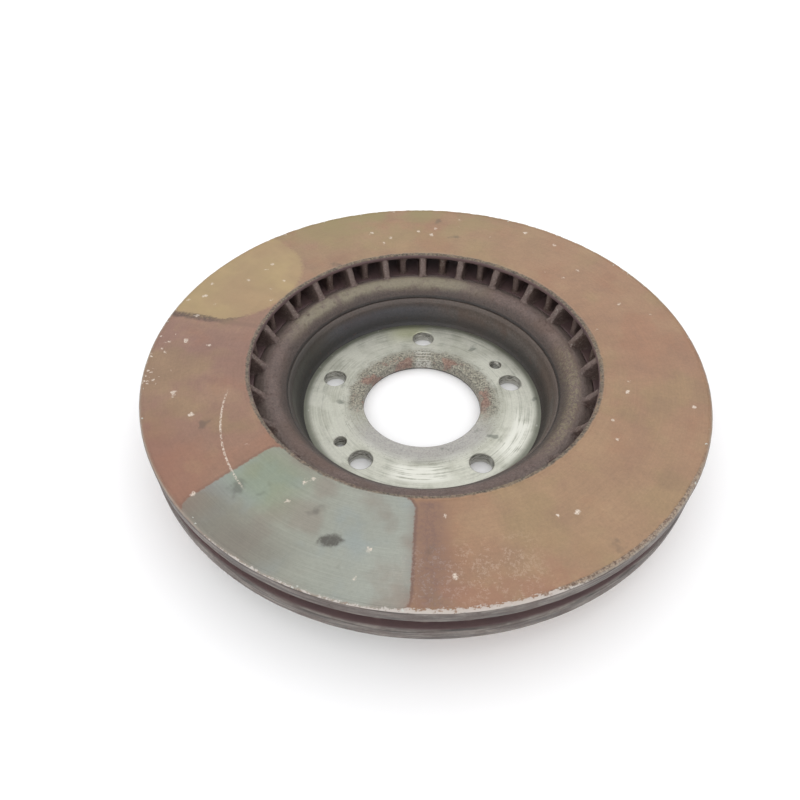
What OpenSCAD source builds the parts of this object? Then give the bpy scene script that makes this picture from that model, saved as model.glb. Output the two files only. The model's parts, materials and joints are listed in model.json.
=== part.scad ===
// Ventilated front brake disc: one grey-iron casting with a deep hat, two friction plates and
// straight radial cooling vanes. It lies on the wheel face of its hat, with the hat's open side up.
// Z = 0 is the wheel face, +Z points towards the vehicle, and the axis of rotation is the Z axis.

/* [Disc] */
// Outer diameter of the friction plates
disc_d = 308; // [290:1:330]
// Thickness over both friction plates
disc_t = 25; // [24:0.5:28]
// Overall height, from the wheel face to the inboard friction plate
overall_h = 46.5; // [44:0.5:52]
// Thickness of each friction plate
plate_t = 8.45; // [7.5:0.05:9]
// Inner diameter of the inboard friction plate
inboard_inner_d = 193; // [190:1:198]
// Depth that the pads have worn into each friction face
track_wear = 0.4; // [0.1:0.1:0.8]
// Width of the unworn rim left at the outer edge
outer_lip_w = 2.2; // [1.5:0.1:4]
// Width of the unworn rim left at the inner edge
inner_lip_w = 3.0; // [2:0.1:5]

/* [Hat] */
// Outer diameter of the hat
hat_d = 162; // [160:1:166]
// Inner diameter of the hat at the hub face
hub_seat_d = 142; // [136:1:146]
// Thickness of the mounting flange
flange_t = 7.5; // [6:0.5:8]

/* [Mounting] */
// Diameter of the centre bore
bore_d = 71; // [56:1:76]
// Diameter of the circle through the wheel-stud holes
pitch_circle_d = 114.3; // [108:0.1:120]
// Number of wheel-stud holes
lug_count = 5; // [4:1:5]
// Diameter of each wheel-stud hole
lug_d = 13.2; // [12:0.1:15]
// Diameter of each jacking hole's tapping drill
jack_d = 6.8; // [6:0.1:7]

/* [Vanes] */
// Number of long vanes, with a short vane between each pair
long_count = 24; // [20:1:24]
// Thickness of a vane at its inner end
vane_inner_t = 4.2; // [3.5:0.1:4.5]
// Thickness of a vane at its outer end
vane_outer_t = 6; // [5:0.1:7]
// Gap from the ends of the vanes to the disc's outer edge
vane_recess = 4; // [2:0.5:8]

/* [Hidden] */
$fn = 180;
eps = 0.5;

disc_r = disc_d / 2;
bore_r = bore_d / 2;
hat_r = hat_d / 2;
hub_seat_r = hub_seat_d / 2;
inboard_r = inboard_inner_d / 2;
pitch_r = pitch_circle_d / 2;

// Heights of the friction plates and of the air gap between them
outboard_z = overall_h - disc_t;
gap_floor_z = outboard_z + plate_t;
gap_roof_z = overall_h - plate_t;
track_top_z = overall_h - track_wear;
track_bottom_z = outboard_z + track_wear;

// Edge breaks
edge = 1.0;
bore_edge = 0.8;
hat_edge = 2.0;

// The inboard plate thins towards the air inlet
inlet_z = overall_h - 3;
inlet_r = inboard_r + 7.5;

// The neck: a groove above the hat wall, a rounded crest, then a slope down to the gap floor
groove_z = flange_t + 18.4;
groove_r = 78;
groove_in_r = 76.1;
groove_h = 1.2;
crest_z = gap_floor_z + 4;
crest_in_r = 86.5;
crest_out_r = 90;
neck_r = 97;
undercut_r = 84.5;
undercut_z = outboard_z + 1.5;

// Hat wall: a slow flare from the hub face up to the groove
wall_low_r = 73.5;
wall_low_z = flange_t + 5;
wall_mid_r = 75.5;
wall_mid_z = flange_t + 12;

// Vanes
long_in_r = 89.5;
short_in_r = 98.5;
vane_out_r = disc_r - vane_recess;
vane_phase = 1.7;
vane_nose = 1.2;
lug_phase = 18.8;
jack_phase = 36.8;

function two(n) = n < 10 ? str("0", n) : str(n);
long_names = [for (i = [1:long_count]) str("long_vane_", two(i))];
short_names = [for (i = [1:long_count]) str("short_vane_", two(i))];

// A ring turned from its radial section, given as [radius, height] points
module turned(section) {
    rotate_extrude()
        polygon(section);
}

// Flat foot of the hat, clamped between the wheel and the hub
module mounting_flange() {
    color([0.74, 0.76, 0.71])
        difference() {
            turned([
                [bore_r, bore_edge],
                [bore_r + bore_edge, 0],
                [hub_seat_r, 0],
                [hub_seat_r, flange_t],
                [bore_r + bore_edge, flange_t],
                [bore_r, flange_t - bore_edge]
            ]);
            for (i = [0:lug_count - 1])
                rotate([0, 0, lug_phase + i * 360 / lug_count])
                    translate([pitch_r, 0, 0])
                        chamfered_hole(lug_d / 2, 0.6);
            for (i = [0, 1])
                rotate([0, 0, jack_phase + i * 180])
                    translate([pitch_r, 0, 0])
                        chamfered_hole(jack_d / 2, 0.7);
        }
}

// Cutter for a through hole in the flange with both mouths chamfered
module chamfered_hole(r, c) {
    rotate_extrude()
        polygon([
            [0, -eps],
            [r + c + eps, -eps],
            [r, c],
            [r, flange_t - c],
            [r + c + eps, flange_t + eps],
            [0, flange_t + eps]
        ]);
}

// Drum-shaped wall of the hat, from the flange up to the groove
module hat_wall() {
    color([0.36, 0.37, 0.37])
        turned([
            [hub_seat_r, 0],
            [hat_r - hat_edge, 0],
            [hat_r, hat_edge],
            [hat_r, groove_z - groove_h],
            [groove_in_r, groove_z - groove_h],
            [wall_mid_r, wall_mid_z],
            [wall_low_r, wall_low_z],
            [hub_seat_r, flange_t]
        ]);
}

// Cast neck that joins the hat to the outboard friction plate
module neck() {
    color([0.45, 0.42, 0.41])
        turned([
            [groove_r, groove_z - groove_h],
            [hat_r, groove_z - groove_h],
            [hat_r, undercut_z + 1.2],
            [undercut_r, undercut_z],
            [undercut_r + 1.5, outboard_z],
            [neck_r, outboard_z],
            [neck_r, gap_floor_z],
            [crest_out_r, crest_z],
            [crest_in_r, crest_z],
            [groove_r + 3.5, groove_z + 3.6],
            [groove_r, groove_z]
        ]);
}

// Friction plate on the wheel side, carried by the neck
module outboard_plate() {
    color([0.62, 0.53, 0.45])
        turned([
            [neck_r, outboard_z],
            [neck_r + inner_lip_w, outboard_z],
            [neck_r + inner_lip_w + track_wear, track_bottom_z],
            [disc_r - outer_lip_w - track_wear, track_bottom_z],
            [disc_r - outer_lip_w, outboard_z],
            [disc_r - edge, outboard_z],
            [disc_r, outboard_z + edge],
            [disc_r, gap_floor_z - edge],
            [disc_r - edge, gap_floor_z],
            [neck_r, gap_floor_z]
        ]);
}

// Friction plate on the vehicle side, carried by the vanes alone
module inboard_plate() {
    color([0.67, 0.56, 0.47])
        turned([
            [inboard_r, inlet_z],
            [inlet_r, gap_roof_z],
            [disc_r - edge, gap_roof_z],
            [disc_r, gap_roof_z + edge],
            [disc_r, overall_h - edge],
            [disc_r - edge, overall_h],
            [disc_r - outer_lip_w, overall_h],
            [disc_r - outer_lip_w - track_wear, track_top_z],
            [inboard_r + inner_lip_w + track_wear, track_top_z],
            [inboard_r + inner_lip_w, overall_h],
            [inboard_r + edge, overall_h],
            [inboard_r, overall_h - edge]
        ]);
}

// Outline of one vane seen along the axis, thicker outwards, with a bevelled nose
module vane_outline(in_r) {
    polygon([
        [in_r - eps, -vane_inner_t / 2 + vane_nose],
        [in_r + vane_nose, -vane_inner_t / 2],
        [vane_out_r - vane_nose, -vane_outer_t / 2],
        [vane_out_r + eps, -vane_outer_t / 2 + vane_nose],
        [vane_out_r + eps, vane_outer_t / 2 - vane_nose],
        [vane_out_r - vane_nose, vane_outer_t / 2],
        [in_r + vane_nose, vane_inner_t / 2],
        [in_r - eps, vane_inner_t / 2 - vane_nose]
    ]);
}

// Long vane: its slanted inner end stands on the crest of the neck
module long_vane(i) {
    color([0.42, 0.39, 0.38])
        rotate([0, 0, vane_phase + (i - 1) * 360 / long_count])
            intersection() {
                translate([0, 0, gap_floor_z - eps])
                    linear_extrude(inlet_z - gap_floor_z + 2 * eps)
                        vane_outline(long_in_r);
                turned([
                    [long_in_r, crest_z],
                    [crest_out_r, crest_z],
                    [neck_r, gap_floor_z],
                    [vane_out_r, gap_floor_z],
                    [vane_out_r, gap_roof_z],
                    [inlet_r, gap_roof_z],
                    [inboard_r, inlet_z]
                ]);
            }
}

// Short vane: it starts just inside the gap, halfway between two long ones
module short_vane(i) {
    color([0.36, 0.33, 0.33])
        rotate([0, 0, vane_phase + (i - 0.5) * 360 / long_count])
            intersection() {
                translate([0, 0, gap_floor_z - eps])
                    linear_extrude(inlet_z - gap_floor_z + 2 * eps)
                        vane_outline(short_in_r);
                turned([
                    [short_in_r, gap_floor_z],
                    [vane_out_r, gap_floor_z],
                    [vane_out_r, gap_roof_z],
                    [inlet_r, gap_roof_z],
                    [short_in_r, short_roof_z()]
                ]);
            }
}

// Height of the flared roof of the gap where the short vanes start
function short_roof_z() =
    inlet_z - (short_in_r - inboard_r) * (inlet_z - gap_roof_z) / (inlet_r - inboard_r);

mounting_flange();
hat_wall();
neck();
outboard_plate();
inboard_plate();
for (i = [1:long_count]) {
    long_vane(i);
    short_vane(i);
}
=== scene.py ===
"""Used ventilated brake disc, lying on its hat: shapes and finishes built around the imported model.

Sizes are in millimetres in the functions below and become metres when a mesh is made. A place on
the disc is given by its radius, its angle in degrees from +X, and its height above the wheel face.
"""

import json
import math
from types import SimpleNamespace

import bmesh
import bpy
import numpy as np
from mathutils import Matrix, Vector


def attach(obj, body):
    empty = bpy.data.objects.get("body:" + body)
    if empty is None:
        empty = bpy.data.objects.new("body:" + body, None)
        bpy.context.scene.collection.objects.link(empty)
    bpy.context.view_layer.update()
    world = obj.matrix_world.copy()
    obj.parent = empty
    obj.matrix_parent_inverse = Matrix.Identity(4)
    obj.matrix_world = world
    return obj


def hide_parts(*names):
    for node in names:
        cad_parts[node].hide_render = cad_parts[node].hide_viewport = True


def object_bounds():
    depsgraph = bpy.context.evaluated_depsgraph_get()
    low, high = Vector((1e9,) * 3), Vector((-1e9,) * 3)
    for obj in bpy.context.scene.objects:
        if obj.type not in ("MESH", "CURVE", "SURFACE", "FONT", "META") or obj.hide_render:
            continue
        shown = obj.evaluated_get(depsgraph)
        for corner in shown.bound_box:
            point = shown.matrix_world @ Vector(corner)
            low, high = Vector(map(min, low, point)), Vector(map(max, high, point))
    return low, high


bl_info = {
    "name": "Ventilated brake disc",
    "version": (1, 0, 0),
    "blender": (4, 5, 0),
    "location": "3D View > Sidebar > Brake disc",
    "description": "Builds a used ventilated brake disc with its finishes and a plain studio",
    "category": "Add Mesh",
}

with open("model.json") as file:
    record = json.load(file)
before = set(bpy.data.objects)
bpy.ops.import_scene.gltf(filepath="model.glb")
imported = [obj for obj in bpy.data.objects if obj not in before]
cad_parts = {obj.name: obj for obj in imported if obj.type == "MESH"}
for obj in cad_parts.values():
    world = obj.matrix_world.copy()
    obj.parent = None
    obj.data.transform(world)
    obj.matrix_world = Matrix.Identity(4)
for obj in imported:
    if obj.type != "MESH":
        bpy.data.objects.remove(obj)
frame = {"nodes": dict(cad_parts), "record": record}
CAD_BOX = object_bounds()
MM = 0.001


# ---------------------------------------------------------------- sizes read from the frame


def reach(node):
    """(smallest radius, largest radius, lowest, highest) of a CAD node, in mm."""
    points = np.array([v.co for v in frame["nodes"][node].data.vertices]) / MM
    radii = np.hypot(points[:, 0], points[:, 1])
    return radii.min(), radii.max(), points[:, 2].min(), points[:, 2].max()


def family(prefix):
    """The CAD nodes whose names start with prefix, in order."""
    return sorted(name for name in frame["nodes"] if name.startswith(prefix))


INNER_R, DISC_R, ROOF_Z, TOP_Z = (round(v, 2) for v in reach("inboard_plate"))
NECK_R, _, PLATE_Z, FLOOR_Z = (round(v, 2) for v in reach("outboard_plate"))
GROOVE_R, _, _, CREST_Z = (round(v, 2) for v in reach("neck"))
SEAT_R, HAT_R, _, WALL_Z = (round(v, 2) for v in reach("hat_wall"))
BORE_R, _, _, SEAT_Z = (round(v, 2) for v in reach("mounting_flange"))
LONG_R, VANE_END_R, _, INLET_Z = (round(v, 2) for v in reach("long_vane_01"))
SHORT_R = round(reach("short_vane_01")[0], 2)


def mount(name):
    """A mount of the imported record."""
    return next(m for m in frame["record"]["mounts"] if m["name"] == name)


STUDS = mount("stud_holes")["dims"]
PITCH_R = STUDS["pcd_mm"] / 2
STUD_R = STUDS["hole_r_mm"]
JACK_R = mount("jacking_hole_1")["dims"]["r_mm"]


def angle_of(point):
    """Angle from +X of a point, in degrees."""
    return math.degrees(math.atan2(point[1], point[0])) % 360


JACK_ANGLES = [angle_of(mount(f"jacking_hole_{n}")["pos_m"]) for n in (1, 2)]
FIRST_STUD = 18.8
FIRST_VANE = 1.7
CREST_IN_R, CREST_OUT_R = 86.5, 90.0
INLET_R = INNER_R + 7.5
WEAR = 0.4

# marks on the friction faces and the hub: millimetres and degrees
GOLD_PRINT = {"Middle_angle": 151.0, "Half_angle": 18.3, "Inner": 98.0, "Outer": 175.0, "Corner": 33.0,
              "Blur": 4.0, "Rag": 3.0}
GREY_PRINT = {"Middle_angle": 246.9, "Half_angle": 22.3, "Inner": 98.3, "Outer": 153.4, "Corner": 6.5,
              "Blur": 1.1, "Rag": 1.2}
BLOT_ANGLE, BLOT_R = math.radians(253.0), 128.0
SCRATCH_X, SCRATCH_Y, SCRATCH_R = -19.0, -40.0, 84.0

# the view: degrees, metres from the hub face's centre, and millimetres of lens
TILT, ROLL, AIM_RIGHT, AIM_UP = (math.radians(a) for a in (46.316, 2.07, 1.934, 0.061))
VIEW_FAR, LENS, SENSOR = 0.39366, 29.383, 36.0
FLOOR_HALF = 4.0
PLATE_STEP, CAST_STEP = 1.45, 0.9


def paint(red, green, blue):
    """The linear colour of a surface that shows as this 0 to 255 screen colour under the studio light.
    The light is 1.32 times white and the surface's own sheen adds a little."""
    parts = [c / 255 for c in (red, green, blue)]
    lit = [c / 12.92 if c <= 0.04045 else ((c + 0.055) / 1.055) ** 2.4 for c in parts]
    return tuple(max(c / 1.32 - 0.042, c * 0.4) for c in lit) + (1,)


# ---------------------------------------------------------------- the user's sizes and colours


def shade(name, words, colour):
    """A colour property with its default."""
    return bpy.props.FloatVectorProperty(
        name=name, description=words, default=colour, subtype="COLOR", size=4, min=0, max=1
    )


def length(name, words, value, low=0.0):
    """A length property in millimetres with its default."""
    return bpy.props.FloatProperty(name=name, description=words, default=value, min=low, unit="NONE")


class DiscSizes(bpy.types.PropertyGroup):
    """Sizes of the finer shapes, in millimetres."""

    edge_round: length("Edge rounding", "Rounding of the turned edges, in mm", 0.9)
    score_depth: length("Score depth", "Depth of the rings that the pads scored, in mm", 0.06)
    lip_decay: length("Lip decay", "Depth that rust has eaten into the unworn rims, in mm", 0.4)
    cast_lumps: length("Casting lumps", "Height of the lumps on the raw casting, in mm", 0.28)
    vane_fillet: length("Vane fillet", "Fillet where a vane meets a plate, in mm", 1.8)
    vane_inner: length("Vane inner thickness", "Thickness of a vane at its inner end, in mm", 4.1)
    vane_outer: length("Vane outer thickness", "Thickness of a vane at its outer end, in mm", 5.9)
    thread_pitch: length("Thread pitch", "Pitch of the jacking holes' threads, in mm", 1.25, 0.5)
    thread_depth: length("Thread depth", "Depth of the jacking holes' threads, in mm", 0.55)
    turns: bpy.props.IntProperty(
        name="Steps round", description="Steps round the disc in each turned piece", default=720, min=90
    )


class DiscColours(bpy.types.PropertyGroup):
    """Colours of the finishes."""

    film: shade("Brown film", "Thin brown film that the pads leave", paint(172, 138, 115))
    ochre: shade("Ochre film", "Film with a yellower tint", paint(176, 147, 120))
    gold: shade("Gold film", "Thinner film, tempered to a pale gold", paint(190, 167, 128))
    rose: shade("Rose film", "Thicker film with a rose tint", paint(160, 129, 117))
    pad_print: shade("Pad print", "Grey print where a pad stood on the face", paint(175, 178, 169))
    bare: shade("Bare iron", "Freshly turned or chipped iron", paint(214, 216, 208))
    seat: shade("Hub seat", "Clean turned iron of the hub face", paint(220, 220, 208))
    skin: shade("Casting skin", "Raw cast iron with a mauve-grey skin", paint(130, 115, 110))
    wall: shade("Hat wall", "Dull dark iron of the hat", paint(124, 117, 113))
    rust: shade("Rust", "Brown rust", paint(122, 84, 62))
    fresh_rust: shade("Fresh rust", "Red-orange rust", paint(158, 94, 70))
    soot: shade("Soot", "Dark brake dust in the vents", paint(118, 102, 106))
    floor: shade("Floor", "Plain pale floor", (0.97, 0.97, 0.98, 1))


# ---------------------------------------------------------------- meshes


def lumps(points, size, seed):
    """Smooth random heights from -1 to 1 at each point, with lumps of about this size in mm."""
    spread = points / size + seed * 17.31
    cell = np.floor(spread).astype(np.int64)
    part = spread - cell
    part = part * part * (3 - 2 * part)
    total = np.zeros(len(points))
    for corner in np.ndindex(2, 2, 2):
        at = cell + corner
        mixed = (at[:, 0] * 73856093) ^ (at[:, 1] * 19349663) ^ (at[:, 2] * 83492791)
        mixed = ((mixed ^ (mixed >> 13)) * 1274126177) & 0x7FFFFFFF
        share = np.prod(np.where(corner, part, 1 - part), axis=1)
        total += share * (mixed / 0x3FFFFFFF - 1)
    return total


def window(value, low, high, blur):
    """1 where value is between low and high, fading to 0 over blur on both sides."""
    up = np.clip((value - low) / blur + 0.5, 0, 1)
    down = np.clip((high - value) / blur + 0.5, 0, 1)
    return up * up * (3 - 2 * up) * down * down * (3 - 2 * down)


def rounded(corners, bend=0.9, step=1.6, arc=4):
    """A closed section from (radius, height) corners: each corner is rounded, long sides are split."""
    corners = [np.array(c, float) for c in corners]
    line = []
    for i, corner in enumerate(corners):
        back, ahead = corners[i - 1] - corner, corners[(i + 1) % len(corners)] - corner
        reach_back, reach_on = (min(bend, 0.42 * np.linalg.norm(v)) for v in (back, ahead))
        start = corner + back / np.linalg.norm(back) * reach_back
        end = corner + ahead / np.linalg.norm(ahead) * reach_on
        for k in range(arc + 1):
            t = k / arc
            line.append((1 - t) ** 2 * start + 2 * t * (1 - t) * corner + t * t * end)
    split = []
    for a, b in zip(line, line[1:] + line[:1]):
        parts = max(1, math.ceil(np.linalg.norm(b - a) / step - 1e-6))
        split += [a + (b - a) * k / parts for k in range(parts)]
    return np.array(split)


def finished_mesh(name, verts, faces, material, sharp=35):
    """A mesh in metres with outward faces and smooth shading up to a sharp angle."""
    mesh = bpy.data.meshes.new(name)
    mesh.from_pydata((np.asarray(verts) * MM).tolist(), [], faces)
    mesh.materials.append(material)
    tidy = bmesh.new()
    tidy.from_mesh(mesh)
    bmesh.ops.remove_doubles(tidy, verts=tidy.verts, dist=1e-6)
    bmesh.ops.dissolve_degenerate(tidy, edges=tidy.edges, dist=1e-7)
    bmesh.ops.recalc_face_normals(tidy, faces=tidy.faces)
    tidy.to_mesh(mesh)
    tidy.free()
    mesh.shade_smooth()
    mesh.set_sharp_from_angle(angle=math.radians(sharp))
    return mesh


def show(name, mesh, replaced):
    """Puts a mesh into the scene as a piece that stands for these CAD nodes."""
    piece = bpy.data.objects.new(name, mesh)
    bpy.context.scene.collection.objects.link(piece)
    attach(piece, "root")
    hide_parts(*replaced)
    return piece


def turned(name, section, material, weather, turns):
    """A closed ring turned from a section. weather moves its points: it takes the points' radius,
    angle in radians and height and gives a new radius and height."""
    n = len(section)
    angles = np.arange(turns) * 2 * math.pi / turns
    radius = np.tile(section[:, 0], turns)
    height = np.tile(section[:, 1], turns)
    angle = np.repeat(angles, n)
    radius, height = weather(radius, angle, height)
    verts = at(radius, angle, height)
    ring, point = np.divmod(np.arange(turns * n), n)
    on, ahead = (ring + 1) % turns * n, (point + 1) % n
    faces = np.stack([ring * n + point, on + point, on + ahead, ring * n + ahead], 1).tolist()
    return finished_mesh(name, verts, faces, material)


def at(radius, angle, height):
    """Points as an array of x, y, z."""
    return np.stack([radius * np.cos(angle), radius * np.sin(angle), height], 1)


def plate_section(low, high, inner, inlet=None, face_up=True):
    """Section of a friction plate, with the worn track in its outer face and unworn rims beside it."""
    lip_out, lip_in, edge = 2.2, 3.0, 1.0
    face, back = (high, low) if face_up else (low, high)
    sink = -WEAR if face_up else WEAR
    out = 1 if face_up else -1
    first = [(inlet[0], inlet[1]), (INLET_R, back)] if inlet else [(inner, back)]
    face_side = [
        (DISC_R - edge, back),
        (DISC_R, back + out * edge),
        (DISC_R, face - out * edge),
        (DISC_R - edge, face),
        (DISC_R - lip_out, face),
        (DISC_R - lip_out - WEAR, face + sink),
        (inner + lip_in + WEAR, face + sink),
        (inner + lip_in, face),
    ]
    last = [(inner + edge, face), (inner, face - out * edge)] if inlet else [(inner, face)]
    return first + face_side + last


def worn_plate(sizes, face, out, inner):
    """Weather for a friction plate: scored rings on its track, decayed rims and a wandering step."""

    def weather(radius, angle, height):
        points = at(radius, angle, height)
        near_face = window(out * (face - height), -1, WEAR + 0.25, 0.3)
        track = window(radius, inner + 3.6, DISC_R - 2.8, 0.5) * near_face
        rings = np.sin(radius * 2.1) * 0.5 + np.sin(radius * 1.3 + 1.3) * 0.4 + np.sin(radius * 0.9) * 0.4
        height = height - out * track * sizes.score_depth * (0.6 + 0.5 * rings)
        outer_rim = window(radius, DISC_R - 2.6, DISC_R + 1, 0.6)
        inner_rim = window(radius, inner - 1, inner + 3.4, 0.6)
        decay = np.clip(lumps(points, 2.2, 3) * 0.6 + lumps(points, 5.5, 4) * 0.7 + 0.15, 0, 1)
        decay += 0.35 * np.clip(lumps(points, 14, 8), 0, 1)
        height = height - out * near_face * np.maximum(outer_rim, inner_rim) * decay * sizes.lip_decay
        step = window(radius, DISC_R - 3, DISC_R - 1.9, 0.4) * near_face
        radius = radius + step * 0.45 * lumps(points, 7, 5)
        side = window(radius, DISC_R - 0.9, DISC_R + 1, 0.4)
        radius = radius - side * (0.06 + 0.06 * lumps(points, 3, 6) + 0.05 * lumps(points, 9, 7))
        return radius, height

    return weather


def raw_casting(height_of_lumps, seed, keep=None):
    """Weather for raw cast surfaces: soft lumps and a sandy grain.

    keep gives 1 where a cut has left the surface smooth."""

    def weather(radius, angle, height):
        points = at(radius, angle, height)
        bump = lumps(points, 6.5, seed) * 0.55 + lumps(points, 2.4, seed + 1) * 0.3
        bump = bump + lumps(points, 15, seed + 2) * 0.5
        free = 1 - (keep(radius, height) if keep else 0)
        shift = bump * height_of_lumps * free
        return radius + shift * 0.6, height + shift * 0.8

    return weather


def vane_grid(start, floor_at, roof_at, ridge_end, sizes, inner_nose):
    """A vane as two bowed sides over a grid along its length and up its height.

    floor_at and roof_at give the heights of its foot and head at a radius. Up to ridge_end the head
    is a free rounded ridge, and beyond it the head runs into the plate above."""
    inner_half, outer_half = sizes.vane_inner / 2, sizes.vane_outer / 2
    near = start + np.array([0, 0.5, 1, 1.6, 2.3, 3.1, 4, 5, 6, 7, 8.2, 9.5, 11, 13])
    far = VANE_END_R - np.array([6, 4.2, 3, 2, 1.2, 0.6, 0.2, 0])
    along = np.concatenate([near, np.linspace(near[-1], far[0], 12)[1:-1], far])
    up = np.array([0, 0.05, 0.11, 0.2, 0.34, 0.5, 0.66, 0.8, 0.89, 0.95, 1])
    sides = []
    for side in (1, -1):
        grid = []
        for r in along:
            low, high = floor_at(r), roof_at(r)
            share = (r - start) / (VANE_END_R - start)
            half = inner_half + (outer_half - inner_half) * share
            for v in up:
                z = low + v * (high - low)
                foot = max(0.0, 1 - max(z - low - 0.3, 0) / sizes.vane_fillet)
                head = max(0.0, 1 - max(high - 0.3 - z, 0) / sizes.vane_fillet) if r > ridge_end else 0
                flare = sizes.vane_fillet * sum(1 - math.sqrt(max(0, 1 - t * t)) for t in (foot, head))
                width = half + flare * 0.7
                if r <= ridge_end:
                    crown = max(0, 1 - (high - z) / half)
                    width = min(width, half + flare) * math.sqrt(max(0, 1 - crown ** 2))
                ends = [VANE_END_R - r] + ([r - start] if inner_nose else [])
                for gap in ends:
                    width *= math.sqrt(max(0, 1 - max(0, 1 - gap / half) ** 2))
                grid.append((r, side * width, z))
        sides.append(grid)
    verts = sides[0] + sides[1]
    rows, columns = len(along), len(up)
    offset = rows * columns
    faces = []
    for i in range(rows - 1):
        for j in range(columns - 1):
            a, b = i * columns + j, (i + 1) * columns + j
            faces.append((a, b, b + 1, a + 1))
            faces.append((offset + a, offset + a + 1, offset + b + 1, offset + b))
        for j in (0, columns - 1):
            a, b = i * columns + j, (i + 1) * columns + j
            faces.append((a, offset + a, offset + b, b))
    for i in (0, rows - 1):
        for j in range(columns - 1):
            a = i * columns + j
            faces.append((a, a + 1, offset + a + 1, offset + a))
    return verts, faces


def neck_floor(r):
    """Height of the neck or the outboard plate under a vane, a little below its surface."""
    if r < CREST_OUT_R:
        return CREST_Z - 0.3
    return max(FLOOR_Z, CREST_Z - (r - CREST_OUT_R) * (CREST_Z - FLOOR_Z) / (NECK_R - CREST_OUT_R)) - 0.3


def plate_roof(r):
    """Height of the inboard plate's underside above a vane, a little above its surface."""
    if r > INLET_R:
        return ROOF_Z + 0.3
    return INLET_Z - (r - INNER_R) * (INLET_Z - ROOF_Z) / (INLET_R - INNER_R) + 0.3


def long_roof(r):
    """Head of a long vane: a slanted free ridge up to the inboard plate, then the plate."""
    if r < INNER_R:
        return CREST_Z - 0.3 + (r - LONG_R) * (INLET_Z + 0.6 - CREST_Z) / (INNER_R - LONG_R)
    return plate_roof(r)


def round_pattern(name):
    """Geometry Nodes tree that sets copies of one object evenly round the Z axis."""
    tree = bpy.data.node_groups.new(name, "GeometryNodeTree")
    for label, kind, value in (
        ("Copied piece", "NodeSocketObject", None),
        ("Copies", "NodeSocketInt", 24),
        ("First angle", "NodeSocketFloat", 0.0),
        ("Wander", "NodeSocketFloat", 0.003),
        ("Seed", "NodeSocketInt", 7),
        ("Lumps", "NodeSocketFloat", 0.001),
        ("Finish", "NodeSocketMaterial", None),
    ):
        socket = tree.interface.new_socket(label, in_out="INPUT", socket_type=kind)
        if value is not None:
            socket.default_value = value
    tree.interface.new_socket("Geometry", in_out="OUTPUT", socket_type="NodeSocketGeometry")
    bench = Bench(tree)
    given = bench.put("NodeGroupInput")
    points = bench.put("GeometryNodePoints")
    bench.feed(points.inputs["Count"], given.outputs["Copies"])
    index = bench.put("GeometryNodeInputIndex")
    step = bench.math("DIVIDE", 2 * math.pi, given.outputs["Copies"])
    even = bench.math("MULTIPLY_ADD", index.outputs[0], step, given.outputs["First angle"])
    chance = bench.put("FunctionNodeRandomValue", data_type="FLOAT")
    floats = [s for s in chance.inputs if s.type == "VALUE" and s.enabled]
    bench.feed(floats[0], bench.math("MULTIPLY", given.outputs["Wander"], -1))
    bench.feed(floats[1], given.outputs["Wander"])
    bench.feed(chance.inputs["Seed"], given.outputs["Seed"])
    drawn = next(s for s in chance.outputs if s.type == "VALUE" and s.enabled)
    turn = bench.put("ShaderNodeCombineXYZ")
    bench.feed(turn.inputs["Z"], bench.math("ADD", even, drawn))
    source = bench.put("GeometryNodeObjectInfo")
    bench.feed(source.inputs["Object"], given.outputs["Copied piece"])
    copies = bench.put("GeometryNodeInstanceOnPoints")
    bench.feed(copies.inputs["Points"], points.outputs[0])
    bench.feed(copies.inputs["Instance"], source.outputs["Geometry"])
    bench.feed(copies.inputs["Rotation"], turn.outputs[0])
    real = bench.put("GeometryNodeRealizeInstances")
    bench.feed(real.inputs[0], copies.outputs[0])
    where = bench.put("GeometryNodeInputPosition")
    rough = bench.put("ShaderNodeTexNoise")
    for label, value in (("Vector", where.outputs[0]), ("Scale", 260.0), ("Detail", 3.0), ("Roughness", 0.6)):
        bench.feed(rough.inputs[label], value)
    centred = bench.put("ShaderNodeVectorMath", rough.outputs["Color"], (0.5, 0.5, 0.5), operation="SUBTRACT")
    shift = bench.put("ShaderNodeVectorMath", centred.outputs[0], operation="SCALE")
    bench.feed(shift.inputs["Scale"], given.outputs["Lumps"])
    lumpy = bench.put("GeometryNodeSetPosition")
    bench.feed(lumpy.inputs["Geometry"], real.outputs[0])
    bench.feed(lumpy.inputs["Offset"], shift.outputs[0])
    finish = bench.put("GeometryNodeSetMaterial")
    bench.feed(finish.inputs["Geometry"], lumpy.outputs[0])
    bench.feed(finish.inputs["Material"], given.outputs["Finish"])
    smooth = bench.put("GeometryNodeSetShadeSmooth")
    bench.feed(smooth.inputs[0], finish.outputs[0])
    bench.feed(bench.put("NodeGroupOutput").inputs[0], smooth.outputs[0])
    return tree


def copies_round(name, source_mesh, values):
    """The plain mesh that the round pattern makes of a mesh, with its inputs set by name."""
    source = bpy.data.objects.new(name + "_source", source_mesh)
    holder = bpy.data.objects.new(name + "_holder", bpy.data.meshes.new(name + "_holder"))
    for thing in (source, holder):
        bpy.context.scene.collection.objects.link(thing)
    tree = round_pattern("Copies round the axis")
    modifier = holder.modifiers.new("Copies", "NODES")
    modifier.node_group = tree
    values = {"Copied piece": source, **values}
    for item in tree.interface.items_tree:
        if item.in_out == "INPUT" and item.name in values:
            modifier[item.identifier] = values[item.name]
    holder.update_tag()
    bpy.context.view_layer.update()
    seen = holder.evaluated_get(bpy.context.evaluated_depsgraph_get())
    mesh = bpy.data.meshes.new_from_object(seen)
    mesh.name = name
    holder.modifiers.remove(modifier)
    for thing in (source, holder):
        old = thing.data
        bpy.data.objects.remove(thing)
        bpy.data.meshes.remove(old)
    bpy.data.node_groups.remove(tree)
    return mesh


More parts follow.
